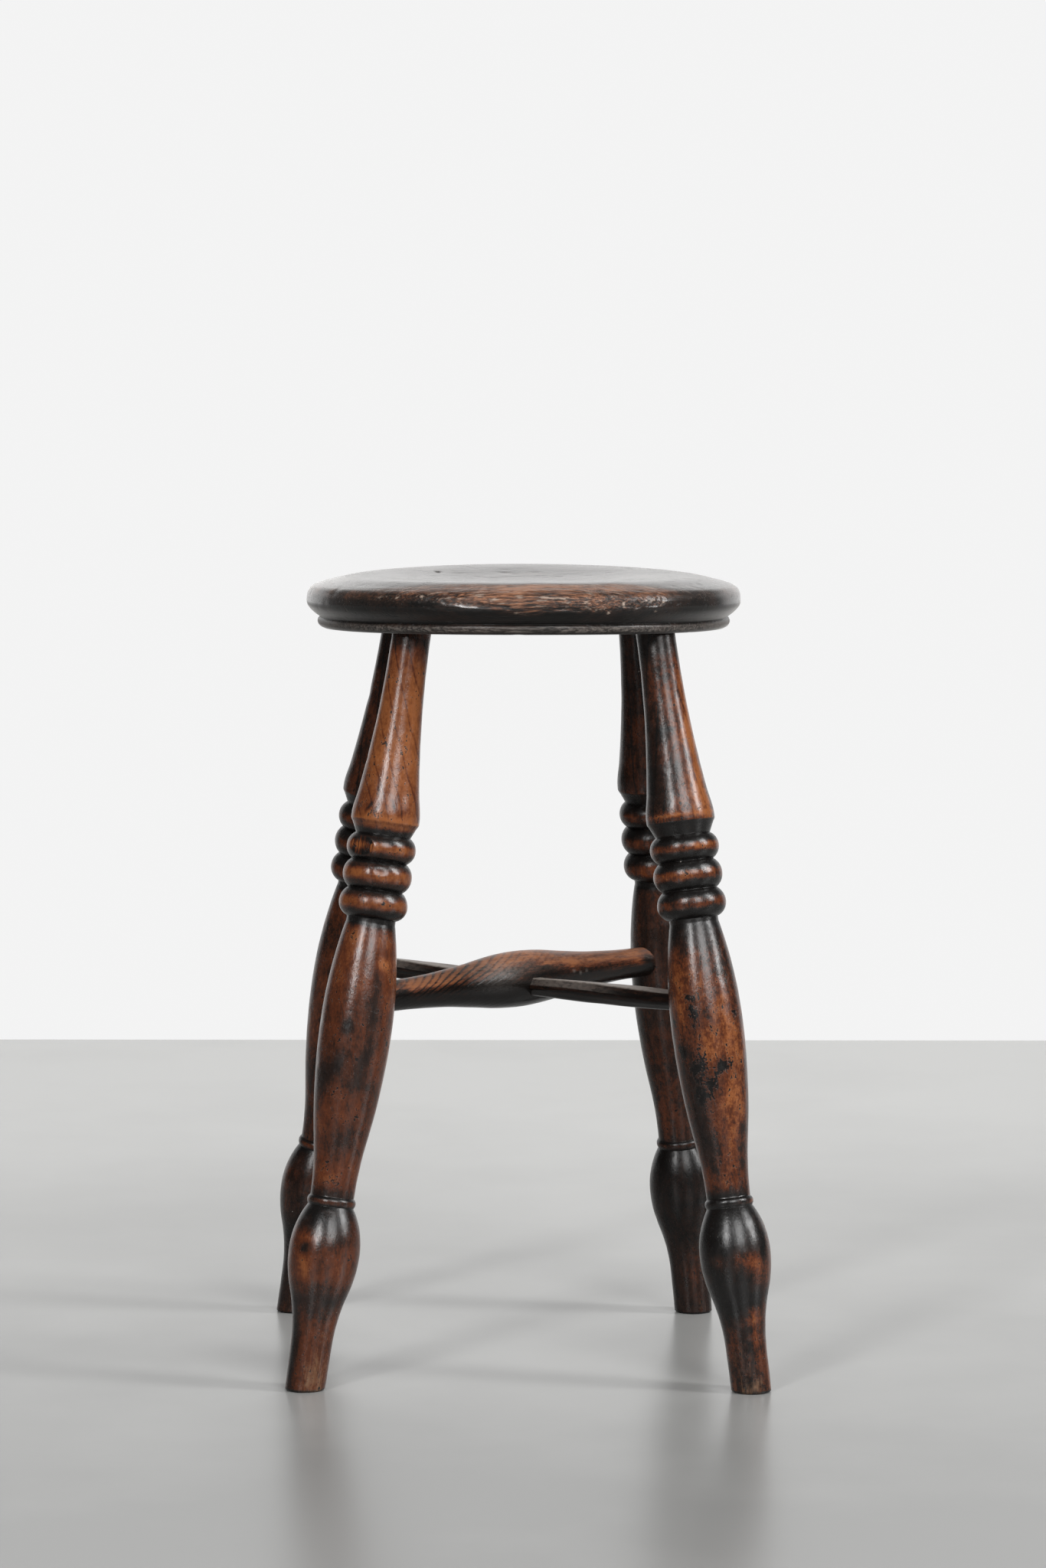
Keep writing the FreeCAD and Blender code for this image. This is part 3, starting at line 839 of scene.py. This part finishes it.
def stretcher_material(name, shift, pith, tilt):
    """Open grained wood with bold dark figure. Its tone is painted, and dust lies on top."""
    nodes = Nodes(name)
    figure = nodes.rings(nodes.place(shift=pith, turn=tilt), 95.0, 4.5, 0.3)
    figure = nodes.times(nodes.level(figure, 0.52, 0.82), nodes.paint("figure"))
    streaks = nodes.noise(nodes.place((1, 1, 0.06), shift), 900.0, 2.0)
    mottle = nodes.noise(nodes.place((1, 1, 0.16), shift), 150.0, 5.0, 0.66)
    grains = nodes.noise(nodes.place((1, 1, 0.5), shift), 480.0, 3.0, 0.65)
    tone = nodes.total(
        nodes.paint("tone"),
        nodes.times(nodes.swing(mottle, 0.32), nodes.level(nodes.paint("tone"), 0.1, 0.6, 0.2, 1.0)),
        nodes.swing(streaks, 0.1),
        nodes.swing(grains, 0.1),
        nodes.times(figure, -0.7),
    )
    colour = nodes.ramp(tone, WOOD_STOPS)
    dust = nodes.times(nodes.paint("dust"), nodes.level(grains, 0.3, 0.6, 0.5, 1.0))
    colour = nodes.mix(dust, colour, DUST_GREY)
    roughness = nodes.total(nodes.level(tone, 0.0, 1.0, 0.22, 0.3), nodes.times(dust, 0.25))
    heights = ((streaks, 0.06 * MM), (grains, 0.16 * MM), (figure, -0.1 * MM))
    return nodes.finish(
        colour, roughness, nodes.bumps(*heights),
        Specular_IOR_Level=0.2, Coat_Weight=0.06, Coat_Roughness=0.15,
    )


# Flats whittled along the half stretchers: turn round the bar in degrees, and distance from its axis as a
# share of its radius
FLATS = ((88, 0.84), (28, 0.93), (-38, 0.95), (-96, 0.94), (-152, 0.92), (148, 0.94))
# How far and how quickly the flats wander round the bar, and where a flat's plane stops being followed
FLAT_TWIST = 0.12
FLAT_WAVE = 30 * MM
FLAT_LEAST = 0.3


def whittled(ring, depth):
    """Share of a bar's radius that its flats leave, by row and side."""
    twist = FLAT_TWIST * np.sin(depth / FLAT_WAVE)
    angle = np.arctan2(ring[:, 1], ring[:, 0])[None, :] + twist[:, None]
    share = np.ones_like(angle)
    for turn, flat in FLATS:
        share = np.minimum(share, flat / np.maximum(np.cos(angle - math.radians(turn)), FLAT_LEAST))
    return share


def bar_skin(node, flats):
    """A stretcher's surface in its own frame, with Y leaning upwards."""
    place, depths, radii = turned_outline(node, BACK, UP)
    depth, radius = outline_rows(depths, radii)
    ring = circle(STRETCHER_SIDES)
    size = radius[:, None] * (whittled(ring, depth) if flats else 1.0)
    points = size[..., None] * ring + depth[:, None, None] * UP
    skin = Skin(points, place, (0, 0, 1))
    skin.press(0.15 * MM * noise(points, 50.0) + 0.06 * MM * noise(points, (220.0, 220.0, 60.0)))
    return skin


def build_bar(node, skin, material):
    piece = skin.build(f"{node}_turned", material)
    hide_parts(node)
    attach(piece, "root")


# Marks on the main stretcher, listed as those on the legs are
MAIN_MARKS = {
    "tone": (
        ((545, 1275), 8, 28, 0.12),
        ((592, 1266), 7, 22, 0.2),
        ((642, 1254), 7, 22, 0.2),
        ((700, 1246), 7, 20, 0.14),
        ((575, 1284), 6, 30, 0.24),
        ((625, 1276), 5, 12, 0.2),
        # Painted shade, with grime, where the stretcher enters the left leg
        ((524, 1290), 20, 7, -0.4),
        ((662, 1250), 8, 10, 0.12),
        # Painted shadow: a dark crescent where the half stretcher enters
        ((660, 1290), 16, 22, -0.3),
        ((820, 1242), 6, 28, 0.16),
        # Painted shade, with grime, where the stretcher enters the right leg
        ((848, 1262), 20, 8, -0.45),
    ),
    "dust": (
        ((650, 1268), 10, 26, 0.3),
        ((750, 1268), 1.2, 2.0, 0.45),
        ((758, 1270), 1.2, 1.5, 0.45),
        ((766, 1267), 1.2, 1.5, 0.4),
    ),
}
# Stretchers' textures: the shift of their grain, and the shift and turn of their growth rings
MAIN_TEXTURE = ((0.2, 0.4, 0.1), (0.01, 0.13, 0.0), (0.38, 0.1, 0.0))
HALF_TEXTURE = ((0.6, 0.3, 0.9), (0.02, 0.03, 0.0), (0.05, 0.06, 0.0))
# The main stretcher's figure is bold up to one pixel across, and fades to its least at the next
FIGURE_BOLD_UP_TO, FIGURE_FADED_FROM = 630, 690
LEAST_FIGURE = 0.15
HALF_FIGURE = 0.2


def build_main_stretcher():
    skin = bar_skin("main_stretcher", flats=False)
    ragged = 0.3 * noise(skin.points, (90, 90, 20)) + 0.2 * noise(skin.points, (200, 200, 60), 0.3)
    # Worn orange on top and near black underneath: wear and dirt, and painted shade below
    skin.paint["tone"] = 0.12 + 0.7 * smooth_step(skin.upward + ragged, -0.25, 0.75)
    bold = 1 - smooth_step(skin.pixels[..., 0], FIGURE_BOLD_UP_TO, FIGURE_FADED_FROM)
    skin.paint["figure"] = LEAST_FIGURE + (1 - LEAST_FIGURE) * bold
    skin.paint["figure"] *= 0.75 + 0.5 * noise(skin.points, (60, 60, 30), 0.6)
    skin.paint["dust"] = 0.28 * smooth_step(skin.upward, 0.2, 0.9)
    skin.mark(MAIN_MARKS)
    build_bar("main_stretcher", skin, stretcher_material("main_stretcher_wood", *MAIN_TEXTURE))


def build_half_stretcher(node):
    skin = bar_skin(node, flats=True)
    # Tone a little lighter on top and darker underneath: painted light and shade
    skin.paint["tone"] = 0.16 + 0.06 * skin.upward
    skin.paint["dust"] = smooth_step(skin.upward, 0.38, 0.8)
    skin.paint["figure"] = np.full(skin.upward.shape, HALF_FIGURE)
    build_bar(node, skin, stretcher_material(f"{node}_wood", *HALF_TEXTURE))


# Seat: how far the plank's front and back have risen, the share of its radius where its rim starts, and the
# small hole that is closed by one face at the middle of its top and underside
PLANK_CUP = 3.5 * MM
RIM_SHARE = 0.91
SEAT_CENTRE_HOLE = 5 * MM
# How upright a face of the top is, and how close two points of the outline may be
TOP_UPRIGHT = 0.5
SAME_POINT = 0.02 * MM
# Fineness: rows on the underside and top, the step between rows on the rim, and steps of angle in degrees,
# which are finer within a reach of the front
UNDERSIDE_ROWS, TOP_ROWS = 24, 70
RIM_ROW_STEP = 0.8 * MM
FRONT_ANGLE, FRONT_REACH = -90, 112
FRONT_STEP, BACK_STEP = 0.3, 0.7
# The rim's outline from the underside up to its widest line: heights and radii in millimetres
RIM_OUTLINE = (
    (0.0, 152.8), (0.5, 154.1), (1.6, 155.6), (3.0, 156.4), (4.6, 156.7), (6.2, 156.3), (7.4, 155.4),
    (8.0, 155.0), (8.5, 155.5), (10.2, 158.0), (12.7, 160.9), (15.3, 163.3), (17.4, 164.5), (19.5, 165.0),
)
# How much fuller the rim is above that line, the shares of the seat's radius where this starts and is full,
# and the height over which it starts
RIM_FULLNESS = 2.4 * MM
FULL_FROM, FULL_TO = 0.895, 0.985
FULL_RISE = 4 * MM


def seat_outline():
    """Seat's own frame, at the middle of its underside, and its CAD outline from its widest line inwards."""
    low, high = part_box("seat")
    place = np.eye(4)
    place[:3, 3] = ((low + high) / 2)[:2] + (low[2],)
    points, corners, _, normals, _ = surface_of("seat")
    points = points - place[:3, 3]
    radius, height = np.hypot(points[:, 0], points[:, 1]), points[:, 2]
    pivot = RIM_SHARE * radius.max()
    middle = (high[2] - low[2]) / 2
    rim = np.flatnonzero(radius > pivot)
    rim = rim[np.argsort(np.arctan2(height[rim] - middle, radius[rim] - pivot))]
    top = np.unique(corners[normals[:, 2] > TOP_UPRIGHT])
    top = top[(radius[top] < pivot) & (radius[top] >= SEAT_CENTRE_HOLE)]
    run = np.concatenate([rim, top[np.argsort(-radius[top])]])
    steps = np.hypot(np.diff(radius[run]), np.diff(height[run]))
    run = run[np.concatenate([[True], steps > SAME_POINT])]
    run = run[np.argmax(radius[run]):]
    return place, radius[run], height[run]


def seat_skin():
    """The cupped plank, finer round its front edge."""
    place, radius, height = seat_outline()
    widest = radius[0]
    swell = np.clip((radius / widest - FULL_FROM) / (FULL_TO - FULL_FROM), 0, 1)
    swell *= smooth_step(height, height[0], height[0] + FULL_RISE)
    knots = MM * np.array(RIM_OUTLINE).T
    rim_height = np.arange(0, knots[0, -1], CELL)
    radius = np.concatenate([[SEAT_CENTRE_HOLE], hermite(rim_height, *knots), radius])
    height = np.concatenate([[0], rim_height, height + RIM_FULLNESS * swell])
    run = np.concatenate([[0], np.cumsum(np.hypot(np.diff(radius), np.diff(height)))])
    rim_start, rim_end = run[np.flatnonzero(radius >= RIM_SHARE * widest)[[0, -1]]]
    at = np.concatenate([
        np.linspace(0, rim_start, UNDERSIDE_ROWS, endpoint=False),
        np.linspace(rim_start, rim_end, int((rim_end - rim_start) / RIM_ROW_STEP), endpoint=False),
        np.linspace(rim_end, run[-1], TOP_ROWS),
    ])
    row_radius, row_height = np.interp(at, run, radius), np.interp(at, run, height)
    front = np.arange(FRONT_ANGLE - FRONT_REACH, FRONT_ANGLE + FRONT_REACH, FRONT_STEP)
    back = np.arange(FRONT_ANGLE + FRONT_REACH, FRONT_ANGLE + 360 - FRONT_REACH, BACK_STEP)
    ring = ring_at(np.radians(np.concatenate([front, back])))
    points = row_radius[:, None, None] * ring + row_height[:, None, None] * UP
    points[..., 2] += PLANK_CUP * (points[..., 1] / widest) ** 2
    return Skin(points, place, (1, 0, 0))


SEAT_STOPS = (
    (0.05, (0.0042, 0.0036, 0.0033, 1)),
    (0.35, (0.02, 0.0115, 0.0085, 1)),
    (0.65, (0.085, 0.037, 0.021, 1)),
    (1.0, (0.24, 0.11, 0.058, 1)),
)


def seat_material():
    """Dark stained plank with its grain along X, worn to brown fibres at its front edge."""
    nodes = Nodes("seat_wood")
    streaks = nodes.noise(nodes.place((0.05, 1, 1)), 800.0, 3.0)
    mottle = nodes.noise(nodes.place((0.3, 1, 1)), 45.0, 5.0, 0.64)
    fibres = nodes.noise(nodes.place((0.1, 1, 1)), 800.0, 4.0, 0.68)
    pores = nodes.level(nodes.noise(nodes.place((0.07, 1, 1), (0.3, 0.1, 0.2)), 480.0, 1.0), 0.62, 0.7)
    tone = nodes.total(
        nodes.paint("tone"),
        nodes.swing(mottle, 0.2),
        nodes.swing(streaks, 0.1),
        nodes.times(nodes.paint("worn"), nodes.swing(fibres, 0.4)),
        nodes.times(pores, -0.15),
    )
    colour = nodes.ramp(tone, SEAT_STOPS)
    dust = nodes.times(nodes.paint("dust"), nodes.level(fibres, 0.42, 0.64, 0.12, 1.0))
    colour = nodes.mix(dust, colour, DUST_GREY)
    flecks = nodes.noise(nodes.place((0.16, 1, 1), (0.2, 0.5, 0.4)), 420.0, 3.0, 0.6)
    flakes = nodes.times(nodes.paint("worn"), nodes.level(flecks, 0.56, 0.7, 0.0, 0.55))
    # Pale chips and painted glints from the pale paint, which, with the flakes, take the scraped pale
    chips_and_glints = nodes.level(nodes.total(nodes.paint("pale"), nodes.swing(fibres, 0.4)), 0.3, 0.95)
    colour = nodes.mix(nodes.total(flakes, chips_and_glints), colour, SCRAPED_AND_GLINT)
    roughness = nodes.total(nodes.paint("dull"), nodes.times(pores, 0.2), nodes.swing(streaks, 0.02))
    grain = nodes.times(nodes.paint("edge"), streaks)
    lifted = nodes.times(nodes.paint("worn"), fibres)
    heights = ((streaks, 0.014 * MM), (grain, 0.06 * MM), (pores, -0.09 * MM), (lifted, 0.5 * MM))
    nodes.feed(nodes.shader.inputs["Coat Weight"], nodes.paint("wax"))
    return nodes.finish(
        colour, roughness, nodes.bumps(*heights), Specular_IOR_Level=0.25, Coat_Roughness=0.2,
        Sheen_Weight=0.4, Sheen_Roughness=0.3, Sheen_Tint=(1.0, 0.97, 0.94, 1),
    )


# Where the worn wood of the front edge ends above and below: pixels across and down
WORN_TOP = ((440, 773), (500, 768), (600, 761), (690, 759), (800, 761), (860, 766), (930, 775))
WORN_FOOT = (
    (440, 780), (500, 784), (560, 790), (600, 793), (640, 798), (685, 804),
    (740, 800), (790, 802), (830, 795), (880, 784), (930, 780),
)
WORN_MIDDLE, WORN_HALF_WIDTH = 690, 215
# The shares of the seat's radius where the wear starts and is full
WORN_FROM, WORN_FULL = 0.81, 0.86
# Pixels over which the worn wood fades in under its top and over its foot, deepens, and darkens to its foot
TOP_FADE, FOOT_FADE = (-3, 3), (-2, 4)
DEEPENING, DARKENING = (-2, 16), (-16, -4)
# Paler worn wood, and dust with a painted highlight along the crest: pixels across where each starts, is
# whole, fades and ends, and pixels below the worn wood's top to its middle and from there to its edge
BRIGHT_PART = (640, 660, 805, 835)
BRIGHT_DROP, BRIGHT_HALF_HEIGHT = 9, 4
CREST_DUST_AND_HIGHLIGHT_PART = (540, 600, 840, 900)
CREST_LINE_DROP, CREST_LINE_HALF_HEIGHT = 0, 2.5

# Pale chips and scrapes on the seat's edge, and painted glints where its gloss catches the light, listed as
# one layer of the legs' marks is
SEAT_CHIPS_AND_GLINTS = (
    ((496, 781), 1.2, 4.5, 0.7),
    ((518, 781), 1.2, 7.0, 0.7),
    ((551, 779), 2.0, 3.0, 0.8),
    ((602, 789), 1.2, 3.0, 0.7),
    ((625, 777), 1.4, 6.0, 0.8),
    ((647, 782), 1.2, 4.0, 0.7),
    ((674, 801), 1.2, 3.0, 0.6),
    ((712, 780), 1.5, 10.0, 0.75),
    ((738, 782), 1.5, 9.0, 0.75),
    ((765, 788), 1.4, 6.0, 0.75),
    ((795, 801), 1.4, 2.2, 0.8),
    ((814, 790), 2.6, 1.5, 0.95),
    ((846, 785), 1.2, 6.0, 0.8),
    ((856, 799), 1.2, 2.2, 0.7),
    ((867, 786), 1.2, 5.0, 0.8),
)
TOP_NICK = (572, 747)
NICK_DEPTH = 1.0 * MM
NICK_SIZES = (4 * MM, 3 * MM)
SEAT_SEED, SEAT_DENTS = 7, 150
# The worn edge's layers, and the depths of each and of the splits
LAYER_COUNT, LAYER_DEPTH, SPLIT_DEPTH = 4, 0.2 * MM, 0.4 * MM
# Heights over the underside where the bead starts and ends and the wax starts, and the quirk's height and
# half height
BEAD_HEIGHTS = (0.6 * MM, 2.5 * MM, 4.7 * MM, 7.2 * MM)
WAX_HEIGHTS = (8 * MM, 12 * MM)
QUIRK_HEIGHT, QUIRK_HALF_HEIGHT = 8.0 * MM, 1.3 * MM
# The shares of the seat's radius where the light wear round the rim starts and is full
RUBBED_FROM, RUBBED_FULL = 0.92, 0.985


def wear_seat(skin):
    """Split and flake the front edge.

    Returns where it is worn, the tone it adds, the crest's dust and painted highlight, and the shares of the
    seat's radius."""
    across, down = np.moveaxis(skin.pixels, -1, 0)
    drop = down - np.interp(across, *zip(*WORN_TOP))
    rise = np.interp(across, *zip(*WORN_FOOT)) - down
    ragged = 3.5 * noise(skin.points, (60, 260, 260)) + 3.0 * noise(skin.points, (25, 110, 110), 0.4)
    spread = np.hypot(skin.points[..., 0], skin.points[..., 1])
    spread /= spread.max()
    inner = spread + 0.02 * noise(skin.points, (50, 120, 120), 0.5)
    front = skin.facing * (skin.points[..., 1] < 0) * smooth_step(inner, WORN_FROM, WORN_FULL)
    worn = smooth_step(drop, *TOP_FADE) * smooth_step(rise + ragged, *FOOT_FADE) * front
    worn *= np.exp(-(((across - WORN_MIDDLE) / WORN_HALF_WIDTH) ** 4))
    layers = LAYER_COUNT * (0.5 + 0.5 * noise(skin.points, (40, 380, 380), 0.7))
    steps = np.floor(layers) + smooth_step(layers % 1, 0.0, 0.25)
    splits = smooth_step(1 - 5 * np.abs(noise(skin.points, (55, 520, 520), 0.2)), 0, 1)
    skin.press(worn * smooth_step(drop, *DEEPENING) * (LAYER_DEPTH * steps + SPLIT_DEPTH * splits))
    low = smooth_step(ragged - rise, *DARKENING)
    bright = bell(drop, BRIGHT_DROP, BRIGHT_HALF_HEIGHT) * window(across, *BRIGHT_PART)
    # Crest line of dust and painted highlight
    crest = bell(drop, CREST_LINE_DROP, CREST_LINE_HALF_HEIGHT) * window(across, *CREST_DUST_AND_HIGHLIGHT_PART) * front
    return worn, worn * (0.52 - 0.2 * splits - 0.22 * low + 0.2 * bright), crest, spread


def paint_seat(skin, nick, worn, worn_tone, crest, spread):
    """Paint the seat's tone, with painted shade below and in its quirk, dust, chips, painted glints, wax and
    dullness.
    """
    away = skin.points[..., 1]
    height = skin.points[..., 2] - PLANK_CUP * (away / np.abs(away).max()) ** 2
    below = smooth_step(-skin.upward, -0.1, 0.2)
    edge = smooth_step(1 - skin.upward, 0.02, 0.25)
    bead = window(height, *BEAD_HEIGHTS)
    quirk = bell(height, QUIRK_HEIGHT, QUIRK_HALF_HEIGHT)
    patches = noise(skin.points, (22, 22, 70), 0.9) + 0.3 * noise(skin.points, 160)
    rubbed = smooth_step(spread, RUBBED_FROM, RUBBED_FULL) * smooth_step(skin.upward, 0.0, 0.4)
    rubbed *= (1 - worn) * smooth_step(patches, -0.25, 0.6)
    wax = 0.7 - 0.42 * smooth_step(skin.upward, 0.35, 0.85)
    wax *= smooth_step(skin.upward, -0.3, 0.1) * smooth_step(height, *WAX_HEIGHTS)
    skin.paint["worn"] = worn
    # Painted shade: darker on faces that look down, and in the quirk
    skin.paint["tone"] = 0.16 + worn_tone - 0.1 * below + 0.26 * rubbed - 0.2 * quirk
    # Dust on the bead, and dust with a painted highlight along the crest
    skin.paint["dust"] = 0.6 * bead + 0.4 * crest
    skin.paint["pale"] = np.zeros_like(worn)
    # Pale chips, and painted glints where the edge's gloss catches the light
    skin.mark({"pale": SEAT_CHIPS_AND_GLINTS})
    skin.paint["wax"] = wax * (1 - worn) * (1 - nick)
    skin.paint["edge"] = edge
    skin.paint["dull"] = 0.16 + 0.08 * edge + 0.15 * worn + 0.15 * below + 0.2 * bead


def build_seat():
    skin = seat_skin()
    wear = wear_seat(skin)
    nick = skin.brush(TOP_NICK, *NICK_SIZES)
    skin.press(NICK_DEPTH * nick)
    skin.dent(SEAT_SEED, SEAT_DENTS)
    paint_seat(skin, nick, *wear)
    piece = skin.build("seat_plank", seat_material())
    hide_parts("seat")
    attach(piece, "root")


build_camera()
build_stage()
build_lights()
build_seat()
for number, leg in enumerate(LEGS):
    build_leg(number, *leg)
build_main_stretcher()
build_half_stretcher("front_right_half_stretcher")
build_half_stretcher("back_left_half_stretcher")

bpy.context.scene.view_settings.view_transform = "Standard"
